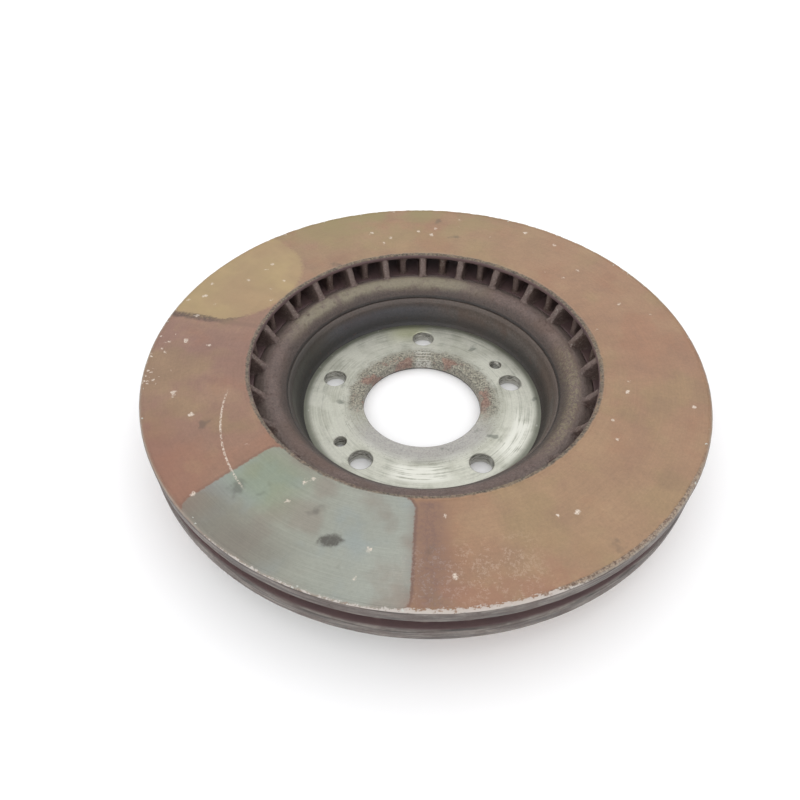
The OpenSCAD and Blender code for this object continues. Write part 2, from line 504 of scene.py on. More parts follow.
def flange_mesh(name, material, sizes):
    """The flange: two flat faces pierced by the bore, the stud holes and the threaded holes."""
    tidy = bmesh.new()
    rim = {"top": [], "foot": []}

    def loop(radius, height, x, y, steps):
        """A closed ring of points. radius may be a function of the angle."""
        ring = []
        for k in range(steps):
            a = 2 * math.pi * k / steps
            r = radius(a) if callable(radius) else radius
            ring.append(tidy.verts.new(((x + r * math.cos(a)) * MM, (y + r * math.sin(a)) * MM, height * MM)))
        return ring

    def wall(rings):
        for low, high in zip(rings, rings[1:]):
            n = len(low)
            for k in range(n):
                tidy.faces.new((low[k], low[(k + 1) % n], high[(k + 1) % n], high[k]))

    def edges(ring):
        return [tidy.edges.get((ring[k], ring[(k + 1) % len(ring)])) for k in range(len(ring))]

    def hole(x, y, radius, mouth, steps, rows, groove=None):
        """A hole's wall from the foot face to the top face, with rounded mouths."""
        rings = []
        for k in range(rows + 1):
            z = SEAT_Z * (0.5 - 0.5 * math.cos(math.pi * k / rows)) if not groove else SEAT_Z * k / rows
            near = min(z, SEAT_Z - z)
            open_by = mouth * (1 - math.sin(min(1, near / mouth) * math.pi / 2))

            def cut(a, z=z, near=near, open_by=open_by):
                r = radius + open_by
                if groove:
                    pitch, depth = groove
                    phase = (z / pitch - a / (2 * math.pi)) % 1
                    r += depth * (1 - abs(2 * phase - 1)) ** 0.8 * min(1, near / 1.0)
                return r

            rings.append(loop(cut, z, x, y, steps))
        wall(rings)
        rim["foot"] += edges(rings[0])
        rim["top"] += edges(rings[-1])

    outer = [loop(SEAT_R, z, 0, 0, 360) for z in (0, SEAT_Z)]
    wall(outer)
    rim["foot"] += edges(outer[0])
    rim["top"] += edges(outer[1])
    hole(0, 0, BORE_R, 0.8, 240, 16)
    for k in range(STUDS["count"]):
        a = math.radians(FIRST_STUD + k * 360 / STUDS["count"])
        hole(PITCH_R * math.cos(a), PITCH_R * math.sin(a), STUD_R, 0.6, 72, 16)
    for angle in JACK_ANGLES:
        a = math.radians(angle)
        grooves = (sizes.thread_pitch, sizes.thread_depth)
        hole(PITCH_R * math.cos(a), PITCH_R * math.sin(a), JACK_R, 0.7, 48, 72, grooves)
    for side in ("foot", "top"):
        bmesh.ops.triangle_fill(tidy, use_beauty=True, edges=rim[side])
    bmesh.ops.recalc_face_normals(tidy, faces=tidy.faces)
    mesh = bpy.data.meshes.new(name)
    tidy.to_mesh(mesh)
    tidy.free()
    mesh.materials.append(material)
    mesh.shade_smooth()
    mesh.set_sharp_from_angle(angle=math.radians(30))
    return mesh


# ---------------------------------------------------------------- materials


class Bench:
    """Lays nodes out in one tree and joins them up."""

    def __init__(self, tree):
        self.tree = tree
        self.count = 0
        self.effects = self.where = None

    def put(self, kind, *values, **settings):
        """A new node with its settings, its first sockets fed in order."""
        node = self.tree.nodes.new(kind)
        node.location = (self.count // 9 * 220, self.count % 9 * -180)
        self.count += 1
        for key, value in settings.items():
            setattr(node, key, value)
        for socket, value in zip(node.inputs, values):
            self.feed(socket, value)
        return node

    def feed(self, socket, value):
        """Links another socket, or sets a plain value."""
        if isinstance(value, bpy.types.NodeSocket):
            self.tree.links.new(value, socket)
        elif value is not None:
            socket.default_value = value

    def math(self, way, *values):
        return self.put("ShaderNodeMath", *values, operation=way).outputs[0]

    def times(self, *values):
        return self.math("MULTIPLY", *values)

    def plus(self, *values):
        return self.math("ADD", *values)

    def minus(self, *values):
        return self.math("SUBTRACT", *values)

    def over(self, *values):
        return self.math("DIVIDE", *values)

    def most(self, *values):
        return self.math("MAXIMUM", *values)

    def scaled(self, value, share, shift):
        """value * share + shift."""
        return self.math("MULTIPLY_ADD", value, share, shift)

    def stretch(self, place, by):
        """A place multiplied by a vector, to stretch a pattern."""
        return self.put("ShaderNodeVectorMath", place, by, operation="MULTIPLY").outputs[0]

    def fade(self, value, low, high, first=0.0, last=1.0):
        """Goes smoothly from first to last as value goes from low to high."""
        node = self.put("ShaderNodeMapRange", value, low, high, first, last, interpolation_type="SMOOTHSTEP")
        return node.outputs[0]

    def between(self, value, low, high, blur):
        """1 where value is between low and high, with blurred ends."""
        up = self.fade(value, low - blur / 2, low + blur / 2)
        down = self.fade(value, high - blur / 2, high + blur / 2, 1.0, 0.0)
        return self.times(up, down)

    def mix(self, share, under, over, way="MIX"):
        node = self.put("ShaderNodeMix", data_type="RGBA", blend_type=way, clamp_factor=True)
        for index, value in ((0, share), (6, under), (7, over)):
            self.feed(node.inputs[index], value)
        return node.outputs[2]

    def noise(self, place, scale, detail=2.0, rough=0.5):
        node = self.put("ShaderNodeTexNoise")
        self.feed(node.inputs["Vector"], place)
        for label, value in (("Scale", scale), ("Detail", detail), ("Roughness", rough)):
            self.feed(node.inputs[label], value)
        return node.outputs[0]

    def cells(self, place, scale):
        node = self.put("ShaderNodeTexVoronoi", feature="F1")
        self.feed(node.inputs["Vector"], place)
        self.feed(node.inputs["Scale"], scale)
        return node.outputs[0]

    def tint(self, colour, tone, amount):
        """A colour made lighter and darker by a tone round 0.5."""
        level = self.scaled(self.minus(tone, 0.5), amount, 1.0)
        grey = self.put("ShaderNodeCombineColor", level, level, level).outputs[0]
        return self.mix(1.0, colour, grey, "MULTIPLY")

    def ramp(self, value, stops):
        node = self.put("ShaderNodeValToRGB", value)
        while len(node.color_ramp.elements) < len(stops):
            node.color_ramp.elements.new(0.5)
        for element, (place, colour) in zip(node.color_ramp.elements, stops):
            element.position, element.color = place, colour
        return node.outputs[0]

    def place(self):
        """Point, radius, angle in degrees and height on the disc."""
        return [self.where[label] for label in ("Point", "Radius", "Angle", "Height")]

    def rust(self, amount, grain):
        """Granular rust: its cover and height."""
        return self.use(self.effects["grain"], Point=self.where["Point"], Amount=amount, Grain=grain)

    def chips(self, size, amount):
        """Scattered ragged chips of about this size in mm, in this share of places."""
        return self.use(self.effects["chips"], Point=self.where["Point"], Size=size, Amount=amount)["Mask"]

    def rings(self, fineness, length, along="Round"):
        """Fine turned rings."""
        place = self.where[along]
        return self.use(self.effects["rings"], Round=place, Fineness=fineness, Length=length)["Height"]

    def use(self, group, **values):
        """Places a shared group with its inputs set by name, and returns its outputs by name."""
        node = self.put("ShaderNodeGroup", node_tree=group)
        for label, value in values.items():
            self.feed(node.inputs[label.replace("_", " ")], value)
        return {socket.name: socket for socket in node.outputs}


def shared(name, inputs, outputs):
    """A shader node group with named inputs and outputs, and its bench, input and output nodes."""
    tree = bpy.data.node_groups.new(name, "ShaderNodeTree")
    kinds = {"F": "NodeSocketFloat", "V": "NodeSocketVector", "C": "NodeSocketColor"}
    for label, kind, value in inputs:
        socket = tree.interface.new_socket(label, in_out="INPUT", socket_type=kinds[kind])
        if value is not None:
            socket.default_value = value
    for label, kind in outputs:
        tree.interface.new_socket(label, in_out="OUTPUT", socket_type=kinds[kind])
    bench = Bench(tree)
    given = bench.put("NodeGroupInput").outputs
    return tree, bench, given, bench.put("NodeGroupOutput").inputs


def place_group():
    """Where a point lies on the disc: millimetres, radius, angle in degrees and height. Round, Cross and
    Side are places for noise that runs round a face, across a face, and round an edge."""
    tree, b, _, out = shared(
        "Place on the disc",
        [],
        [("Point", "V"), ("Radius", "F"), ("Angle", "F"), ("Height", "F"), ("Round", "V"), ("Cross", "V"),
         ("Side", "V")],
    )
    local = b.put("ShaderNodeTexCoord").outputs["Object"]
    point = b.stretch(local, (1000, 1000, 1000))
    x, y, z = b.put("ShaderNodeSeparateXYZ", point).outputs
    radius = b.math("SQRT", b.plus(b.times(x, x), b.times(y, y)))
    turn = b.times(b.math("ARCTAN2", y, x), 180 / math.pi)
    angle = b.plus(turn, b.times(b.math("LESS_THAN", turn, 0.0), 360.0))
    east, north = b.over(x, radius), b.over(y, radius)
    around = b.put("ShaderNodeCombineXYZ", east, north, radius).outputs[0]
    across = b.put("ShaderNodeCombineXYZ", east, north, b.times(radius, 0.004)).outputs[0]
    side = b.put("ShaderNodeCombineXYZ", east, north, z).outputs[0]
    for socket, value in zip(out, (point, radius, angle, z, around, across, side)):
        b.feed(socket, value)
    return tree


def ring_group():
    """Fine rings round the axis, left by a cutting tool or by pads."""
    tree, b, given, out = shared(
        "Turned rings", [("Round", "V", None), ("Fineness", "F", 1.0), ("Length", "F", 1.5)],
        [("Height", "F")],
    )
    stretch = b.put("ShaderNodeCombineXYZ", given["Length"], given["Length"], given["Fineness"]).outputs[0]
    place = b.put("ShaderNodeVectorMath", given["Round"], stretch, operation="MULTIPLY").outputs[0]
    fine = b.noise(place, 1.0, 3.0, 0.6)
    b.feed(out[0], fine)
    return tree


def blot_group():
    """A ragged blot round a point."""
    tree, b, given, out = shared(
        "Blot",
        [("Point", "V", None), ("X", "F", 0.0), ("Y", "F", 0.0), ("Width", "F", 5.0), ("Depth", "F", 5.0),
         ("Turn", "F", 0.0), ("Rag", "F", 0.4), ("Blur", "F", 0.35)],
        [("Mask", "F")],
    )
    x, y, _ = b.put("ShaderNodeSeparateXYZ", given["Point"]).outputs
    x, y = b.minus(x, given["X"]), b.minus(y, given["Y"])
    turn = b.math("RADIANS", given["Turn"])
    cos, sin = b.math("COSINE", turn), b.math("SINE", turn)
    u = b.plus(b.times(x, cos), b.times(y, sin))
    v = b.minus(b.times(y, cos), b.times(x, sin))
    u, v = b.over(u, given["Width"]), b.over(v, given["Depth"])
    far = b.math("SQRT", b.plus(b.times(u, u), b.times(v, v)))
    smaller = b.math("MINIMUM", given["Width"], given["Depth"])
    ragged = b.noise(given["Point"], b.over(1.1, smaller), 4.0, 0.7)
    wobble = b.times(b.minus(ragged, 0.5), given["Rag"])
    far = b.plus(far, b.times(wobble, 2.4))
    high = b.plus(1.0, given["Blur"])
    low = b.minus(1.0, given["Blur"])
    b.feed(out[0], b.fade(far, low, high, 1.0, 0.0))
    return tree


def print_group():
    """The print of a brake pad: a ring sector with round corners and slightly ragged edges."""
    tree, b, given, out = shared(
        "Pad print",
        [("Point", "V", None), ("Radius", "F", 0.0), ("Angle", "F", 0.0), ("Middle angle", "F", 0.0),
         ("Half angle", "F", 20.0), ("Inner", "F", 100.0), ("Outer", "F", 150.0), ("Corner", "F", 6.0),
         ("Blur", "F", 1.0), ("Rag", "F", 1.0)],
        [("Mask", "F"), ("Rim", "F")],
    )
    swing = b.math("ABSOLUTE", b.minus(given["Angle"], given["Middle angle"]))
    side = b.times(b.minus(swing, given["Half angle"]), b.times(given["Radius"], math.pi / 180))
    inward = b.minus(given["Inner"], given["Radius"])
    outward = b.minus(given["Radius"], given["Outer"])
    end = b.most(inward, outward)
    a, c = b.plus(side, given["Corner"]), b.plus(end, given["Corner"])
    a_out, c_out = b.most(a, 0.0), b.most(c, 0.0)
    far = b.math("SQRT", b.plus(b.times(a_out, a_out), b.times(c_out, c_out)))
    far = b.minus(b.plus(far, b.math("MINIMUM", b.most(a, c), 0.0)), given["Corner"])
    ragged = b.times(b.minus(b.noise(given["Point"], 0.5, 4.0, 0.6), 0.5), given["Rag"])
    far = b.plus(far, b.times(ragged, 2.0))
    half = b.times(given["Blur"], 0.5)
    b.feed(out["Mask"], b.fade(far, b.times(half, -1.0), half, 1.0, 0.0))
    b.feed(out["Rim"], b.fade(b.math("ABSOLUTE", b.minus(far, 0.5)), 0.1, 1.6, 1.0, 0.0))
    return tree


def grain_group():
    """Granular rust: a cover that grows with Amount, and its pitted height."""
    tree, b, given, out = shared(
        "Granular rust", [("Point", "V", None), ("Amount", "F", 0.5), ("Grain", "F", 1.0)],
        [("Cover", "F"), ("Height", "F")],
    )
    coarse = b.noise(given["Point"], b.times(given["Grain"], 0.22), 5.0, 0.68)
    fine = b.noise(given["Point"], b.times(given["Grain"], 1.7), 3.0, 0.7)
    both = b.plus(b.times(coarse, 0.62), b.times(fine, 0.38))
    edge = b.minus(1.0, given["Amount"])
    edge = b.scaled(edge, 0.5, 0.28)
    b.feed(out["Cover"], b.fade(both, edge, b.plus(edge, 0.09)))
    b.feed(out["Height"], fine)
    return tree


def chip_group():
    """Small bright chips: a share of scattered cells, each of ragged shape."""
    tree, b, given, out = shared(
        "Bright chips", [("Point", "V", None), ("Size", "F", 2.0), ("Amount", "F", 0.1)], [("Mask", "F")]
    )
    scale = b.over(1.0, given["Size"])
    warp = b.put("ShaderNodeTexNoise")
    b.feed(warp.inputs["Vector"], given["Point"])
    b.feed(warp.inputs["Scale"], b.times(scale, 1.7))
    moved = b.put("ShaderNodeVectorMath", warp.outputs["Color"], given["Size"], operation="SCALE")
    b.feed(moved.inputs["Scale"], given["Size"])
    place = b.put("ShaderNodeVectorMath", given["Point"], moved.outputs[0], operation="ADD").outputs[0]
    cell = b.put("ShaderNodeTexVoronoi", feature="F1")
    b.feed(cell.inputs["Vector"], place)
    b.feed(cell.inputs["Scale"], scale)
    lot = b.put("ShaderNodeSeparateColor", cell.outputs["Color"]).outputs[0]
    chosen = b.math("LESS_THAN", lot, given["Amount"])
    size = b.fade(cell.outputs["Distance"], 0.18, 0.42, 1.0, 0.0)
    b.feed(out[0], b.times(chosen, size))
    return tree


def skin_group():
    """The sandy skin of a raw casting: a tone for its colour and a height for its bump."""
    tree, b, given, out = shared(
        "Casting skin", [("Point", "V", None), ("Grain", "F", 1.0)], [("Tone", "F"), ("Height", "F")]
    )
    soft = b.noise(given["Point"], b.times(given["Grain"], 0.07), 4.0, 0.55)
    sand = b.noise(given["Point"], b.times(given["Grain"], 1.1), 4.0, 0.65)
    pits = b.cells(given["Point"], b.times(given["Grain"], 0.55))
    b.feed(out["Tone"], b.plus(b.times(soft, 0.7), b.times(sand, 0.3)))
    b.feed(out["Height"], b.plus(b.times(sand, 0.6), b.times(pits, 0.4)))
    return tree


def groups():
    """The shared effects, each made once."""
    makers = {
        "place": ("Place on the disc", place_group),
        "rings": ("Turned rings", ring_group),
        "blot": ("Blot", blot_group),
        "print": ("Pad print", print_group),
        "grain": ("Granular rust", grain_group),
        "chips": ("Bright chips", chip_group),
        "skin": ("Casting skin", skin_group),
    }
    return {key: bpy.data.node_groups.get(name) or make() for key, (name, make) in makers.items()}


def new_material(name, ior=1.6):
    """A material with its Principled shader, and a bench to work on."""
    made = bpy.data.materials.new(name)
    made.use_nodes = True
    made.node_tree.nodes.clear()
    bench = Bench(made.node_tree)
    shader = bench.put("ShaderNodeBsdfPrincipled")
    shader.inputs["IOR"].default_value = ior
    bench.feed(bench.put("ShaderNodeOutputMaterial").inputs["Surface"], shader.outputs[0])
    return made, bench, shader


def new_finish(name):
    """A material, its shader, and a bench that knows the shared effects and the place on the disc."""
    made, bench, shader = new_material(name)
    bench.effects = groups()
    bench.where = bench.use(bench.effects["place"])
    return made, shader, bench


def finish(bench, shader, colour, rough, metal, height, depth):
    """Feeds a shader. depth is the relief of the bump in mm."""
    bench.feed(shader.inputs["Base Color"], colour)
    bench.feed(shader.inputs["Roughness"], rough)
    bench.feed(shader.inputs["Metallic"], metal)
    bump = bench.put("ShaderNodeBump")
    bump.inputs["Strength"].default_value = 1.0
    bump.inputs["Distance"].default_value = depth * MM
    bench.feed(bump.inputs["Height"], height)
    bench.feed(shader.inputs["Normal"], bump.outputs[0])


def wheel_side(b, colours):
    """Colour of the face that the wheel bolts against: dull iron with scattered rust."""
    rust = b.rust(0.5, 1.4)
    clouds = b.noise(b.where["Point"], 0.06, 4, 0.6)
    dull = b.mix(clouds, paint(128, 120, 110), paint(170, 162, 150))
    return b.mix(b.times(rust["Cover"], 0.7), dull, b.tint(tuple(colours.rust), rust["Height"], 1))


def face_patterns(b):
    """The patterns that the layers of a friction plate's finish share, among them a painted sheen of radial
    streaks, as light draws them across the turned rings.
    """
    point, radius, angle, _ = b.place()
    return SimpleNamespace(
        point=point, radius=radius, angle=angle, spokes=b.noise(b.where["Cross"], 11, 5, 0.7),
        clouds=b.noise(point, 0.05, 4, 0.55), grit=b.noise(point, 0.75, 3, 0.75),
        hue=b.noise(point, 0.028, 3, 0.5), smudge=b.noise(point, 0.25, 3, 0.6),
        rings=b.rings(1.35, 2.2), fine=b.rings(3.4, 5),
    )


def film_colour(b, colours, p):
    """The brown film, whose tint wanders round the track, with a painted radial sheen over it."""
    point, radius, angle, spokes, clouds = p.point, p.radius, p.angle, p.spokes, p.clouds
    grit, hue, rings = p.grit, p.hue, p.rings
    drift = b.noise(point, 0.018, 3, 0.5)
    wander = b.scaled(drift, 26, -13)
    warped = b.over(b.plus(angle, wander), 360)
    film, rose, ochre = tuple(colours.film), tuple(colours.rose), tuple(colours.ochre)
    tones = [(0, film), (0.3, ochre), (0.5, rose), (0.75, film), (0.82, ochre), (1, film)]
    colour = b.ramp(warped, tones)
    colour = b.mix(b.fade(hue, 0.50, 0.66, 0, 0.3), colour, paint(174, 128, 106))
    colour = b.mix(b.fade(hue, 0.48, 0.34, 0, 0.4), colour, paint(168, 148, 114))
    veil = b.noise(b.stretch(b.where["Cross"], (1, 1, 3)), 4.5, 4, 0.6)
    colour = b.mix(b.fade(veil, 0.50, 0.66, 0, 0.25), colour, paint(186, 160, 128))
    colour = b.mix(b.fade(veil, 0.48, 0.34, 0, 0.22), colour, paint(152, 122, 108))
    # painted sheen: radial streaks of light and shade across the turned rings
    colour = b.tint(colour, spokes, 0.34)
    colour = b.tint(colour, clouds, 0.16)
    colour = b.tint(colour, rings, 0.16)
    colour = b.tint(colour, grit, 0.42)
    olive = b.times(b.between(angle, 72, 132, 50), b.fade(radius, 104, 152, 0.2, 0.85))
    colour = b.mix(b.times(olive, b.fade(clouds, 0.35, 0.6)), colour, paint(163, 150, 112))
    return colour


def with_prints(b, colours, p, colour):
    """Adds the prints of two pads that have stood on the face: a pale gold one and a grey one."""
    point, radius, angle, spokes, clouds = p.point, p.radius, p.angle, p.spokes, p.clouds
    grit, hue, smudge, fine = p.grit, p.hue, p.smudge, p.fine
    pale = b.use(b.effects["print"], Point=point, Radius=radius, Angle=angle, **GOLD_PRINT)
    # the pale gold print carries the same painted sheen
    pale_tone = b.tint(b.tint(tuple(colours.gold), spokes, 0.3), clouds, 0.3)
    colour = b.mix(b.times(pale["Mask"], b.fade(hue, 0.3, 0.6, 0.95, 0.6)), colour, pale_tone)
    frayed = b.plus(angle, b.scaled(smudge, 2, -1))
    line = b.times(b.between(frayed, 168.4, 170.4, 1), b.fade(radius, 114, 132, 0.2, 1))
    corner = b.times(pale["Rim"], b.between(angle, 160, 171, 4))
    line = b.most(line, b.times(corner, b.fade(radius, 106, 116, 0, 0.6)))
    line = b.times(line, b.fade(grit, 0.30, 0.58, 0.3, 1))
    colour = b.mix(b.times(line, 0.8), colour, paint(96, 78, 70))
    grey = b.use(b.effects["print"], Point=point, Radius=radius, Angle=angle, **GREY_PRINT)
    across = b.fade(angle, 226, 266)
    pad_print = tuple(colours.pad_print)
    tone = b.mix(across, paint(163, 164, 151), pad_print)
    patchy = b.noise(point, 0.035, 3, 0.5)
    tone = b.mix(b.fade(patchy, 0.52, 0.66, 0, 0.5), tone, paint(163, 173, 174))
    tone = b.mix(b.fade(patchy, 0.36, 0.5, 0.55, 0), tone, paint(158, 148, 138))
    low_left = b.times(b.between(angle, 222, 246, 14), b.fade(radius, 124, 146))
    tone = b.mix(b.times(low_left, 0.75), tone, paint(146, 141, 132))
    greenish = b.times(b.between(angle, 224, 240, 12), b.between(radius, 103, 128, 14))
    tone = b.mix(b.times(greenish, 0.5), tone, paint(150, 163, 136))
    tone = b.tint(tone, fine, 0.5)
    tone = b.tint(tone, grit, 0.3)
    tone = b.tint(tone, clouds, 0.25)
    rim_right = b.fade(angle, 262, 268, 0.3, 0.65)
    colour = b.mix(b.times(grey["Rim"], rim_right), colour, paint(118, 98, 92))
    colour = b.mix(grey["Mask"], colour, tone)
    beside = b.times(b.between(angle, 269.4, 276, 6), b.between(radius, 100, 152, 3))
    colour = b.mix(b.times(beside, b.fade(grit, 0.35, 0.65, 0.35, 0.85)), colour, paint(138, 113, 106))
    red_band = b.times(b.between(angle, 270, 300, 16), b.fade(radius, 118, 150))
    colour = b.mix(b.times(red_band, b.fade(clouds, 0.42, 0.62, 0, 0.5)), colour, paint(168, 124, 108))
    red_left = b.times(b.between(angle, 202, 226, 12), b.fade(radius, 128, 150))
    colour = b.mix(b.times(red_left, 0.35), colour, paint(158, 112, 98))
    return colour, grey["Mask"]


def with_marks(b, p, colour, face_up):
    """Adds stains and scattered chips, and on the inboard face a blot and a curved scratch."""
    point, radius, angle, grit, smudge = p.point, p.radius, p.angle, p.grit, p.smudge
    stains = b.chips(13, 0.05)
    stains = b.times(stains, 0.45)
    if face_up:
        blot = b.use(b.effects["blot"], Point=point, X=BLOT_R * math.cos(BLOT_ANGLE),
                     Y=BLOT_R * math.sin(BLOT_ANGLE), Width=5, Depth=3, Turn=10, Rag=0.55)["Mask"]
        stains = b.most(stains, b.times(blot, 0.85))
    colour = b.mix(b.times(stains, b.fade(grit, 0.25, 0.5, 0.7, 1)), colour, paint(98, 92, 84))
    x, y, _ = b.put("ShaderNodeSeparateXYZ", point).outputs
    off = b.math("SQRT", b.plus(b.math("POWER", b.plus(x, -SCRATCH_X), 2),
                                b.math("POWER", b.plus(y, -SCRATCH_Y), 2)))
    off = b.math("ABSOLUTE", b.minus(off, SCRATCH_R))
    scratch = b.times(b.fade(off, 0.25, 0.75, 1, 0), b.between(angle, 200, 229, 5))
    scratch = b.times(scratch, b.fade(b.noise(point, 0.9, 3, 0.7), 0.42, 0.55))
    crowded = b.times(b.between(angle, 60, 200, 40), b.fade(radius, 105, 150, 0.3, 1))
    flakes = b.chips(4.6, b.scaled(crowded, 0.03, 0.008))
    nicks = b.most(scratch, flakes) if face_up else flakes
    speck = b.chips(3.4, 0.012)
    nicks = b.most(nicks, b.times(speck, 0.8))
    near_print = b.times(b.between(angle, 268, 292, 8), b.between(radius, 124, 150, 10))
    dusty = b.times(near_print, b.fade(b.times(grit, b.fade(smudge, 0.3, 0.6, 0.8, 1.2)), 0.56, 0.68))
    left_rim = b.times(b.between(angle, 174, 193, 4), b.fade(radius, 139, 152))
    crumbs = b.chips(2.4, b.times(left_rim, 0.4))
    nicks = b.most(nicks, b.most(crumbs, b.times(dusty, 0.16)))
    nicks = b.times(nicks, b.fade(b.noise(point, 1.3, 2, 0.8), 0.36, 0.54, 0.12, 0.95))
    colour = b.mix(nicks, colour, paint(244, 230, 216))
    return colour, nicks


def with_rims(b, colours, p, colour, inner, printed):
    """Adds granular rust on the unworn rims, and bare iron where the outer edge has been knocked."""
    bare = tuple(colours.bare)
    radius, angle, grit, smudge = p.radius, p.angle, p.grit, p.smudge
    eaten = b.between(angle, 290, 332, 12)
    near_edge = b.plus(b.scaled(eaten, 0.7, radius), b.scaled(smudge, 1.6, -0.8))
    outer_rim = b.fade(near_edge, DISC_R - 2.2, DISC_R - 1.4)
    inner_rim = b.fade(b.plus(radius, b.scaled(smudge, 2.4, -1.2)), inner + 2.6, inner + 1.6)
    rims = b.most(outer_rim, inner_rim)
    rust = b.rust(0.62, 1.6)
    front = b.minus(1, b.between(angle, 20, 222, 40))
    rim_tone = b.mix(rust["Height"], paint(92, 78, 70), paint(176, 158, 136))
    rim_tone = b.mix(rust["Cover"], rim_tone, b.tint(tuple(colours.rust), rust["Height"], 1.1))
    rim_tone = b.mix(b.scaled(front, -0.5, 0.6), rim_tone, paint(160, 143, 118))
    eaten_tone = b.mix(b.fade(grit, 0.36, 0.64), paint(108, 88, 76), paint(196, 178, 158))
    rim_tone = b.mix(b.times(eaten, 0.8), rim_tone, eaten_tone)
    decayed = b.scaled(eaten, 0.6, 0.3)
    decayed = b.times(decayed, b.scaled(printed, -0.75, 1))
    colour = b.mix(b.times(decayed, outer_rim), colour, rim_tone)
    crust = b.mix(b.fade(grit, 0.34, 0.66), paint(66, 58, 52), paint(150, 138, 122))
    colour = b.mix(b.times(inner_rim, b.fade(smudge, 0.3, 0.55, 0.6, 0.95)), colour, crust)
    worn_edge = b.times(b.fade(radius, DISC_R - 1.3, DISC_R - 0.7), b.fade(smudge, 0.3, 0.6, 0.15, 0.6))
    colour = b.mix(worn_edge, colour, paint(176, 170, 160))
    shreds = b.noise(b.stretch(b.where["Round"], (34, 34, 0.5)), 1, 5, 0.75)
    thick = b.times(b.between(angle, 266, 293, 8), 1.5)
    thick = b.plus(thick, b.times(b.between(angle, 234, 297, 10), 0.75))
    thick = b.times(thick, b.fade(shreds, 0.34, 0.62, 0.15, 1.35))
    knock = b.minus(radius, b.minus(DISC_R - 0.5, thick))
    knock = b.plus(knock, b.scaled(grit, 4.4, -2.55))
    knock = b.times(b.fade(knock, 0, 0.5), b.between(angle, 232, 299, 4))
    colour = b.mix(b.times(knock, 0.7), colour, paint(228, 220, 214))
    amount = b.times(b.fade(radius, DISC_R - 3.2, DISC_R - 1.6), 0.10)
    bright = b.chips(1.9, amount)
    colour = b.mix(bright, colour, bare)
    return colour, rims, rust


def plate_back(b, colours, p):
    """The edge of a friction plate and its side towards the vents."""
    point, radius, clouds, grit = p.point, p.radius, p.clouds, p.grit
    streaks = b.rings(1.1, 7, "Side")
    blotches = b.noise(b.stretch(point, (1, 1, 2.5)), 0.07, 5, 0.65)
    edge = b.mix(b.fade(streaks, 0.34, 0.64), paint(94, 87, 84), paint(152, 144, 138))
    edge = b.mix(b.fade(blotches, 0.42, 0.6, 0, 0.6), edge, paint(104, 88, 80))
    edge = b.tint(edge, grit, 0.7)
    side_rust = b.rust(0.36, 0.9)
    rusty = b.tint(tuple(colours.rust), side_rust["Height"], 0.8)
    edge = b.mix(b.times(side_rust["Cover"], 0.6), edge, rusty)
    vent = b.mix(clouds, tuple(colours.soot), paint(136, 115, 111))
    outside = b.fade(radius, DISC_R - 1.6, DISC_R - 0.6)
    back = b.mix(outside, vent, edge)
    return back, side_rust


def rubbed_iron(name, colours, face_up):
    """Finish of a friction plate: film, prints, marks and rims on its face, dull edges, sooty vents."""
    made, shader, b = new_finish(name)
    p = face_patterns(b)
    height = b.where["Height"]
    face, inner = (TOP_Z, INNER_R) if face_up else (PLATE_Z, NECK_R)
    depth_in = b.minus(face, height) if face_up else b.minus(height, face)
    on_face = b.fade(depth_in, 0.75, 0.95, 1, 0)
    colour, printed = with_prints(b, colours, p, film_colour(b, colours, p))
    colour, nicks = with_marks(b, p, colour, face_up)
    colour, rims, rust = with_rims(b, colours, p, colour, inner, printed)
    back, side_rust = plate_back(b, colours, p)
    colour = b.mix(on_face, back, colour)

    skin = b.use(b.effects["skin"], Point=p.point, Grain=1)
    lift = b.plus(b.times(p.rings, 0.35), b.times(p.fine, 0.2))
    lift = b.minus(lift, b.times(nicks, 0.3))
    rough_lift = b.plus(b.times(rust["Height"], 1.4), skin["Height"])
    worn = b.times(on_face, b.minus(1, rims))
    height_mix = b.put("ShaderNodeMix", worn, data_type="FLOAT")
    b.feed(height_mix.inputs[2], rough_lift)
    b.feed(height_mix.inputs[3], b.times(lift, 0.35))
    polish = b.scaled(p.fine, 0.24, 0.44)
    polish = b.plus(polish, b.times(printed, -0.04))
    rough_mix = b.put("ShaderNodeMix", worn, data_type="FLOAT")
    b.feed(rough_mix.inputs[2], b.scaled(side_rust["Cover"], 0.2, 0.6))
    b.feed(rough_mix.inputs[3], polish)
    metal = b.times(worn, b.scaled(printed, 0.2, 0.15))
    metal = b.most(metal, b.times(nicks, 0.5))
    finish(b, shader, colour, rough_mix.outputs[0], metal, height_mix.outputs[0], 0.12)
    return made


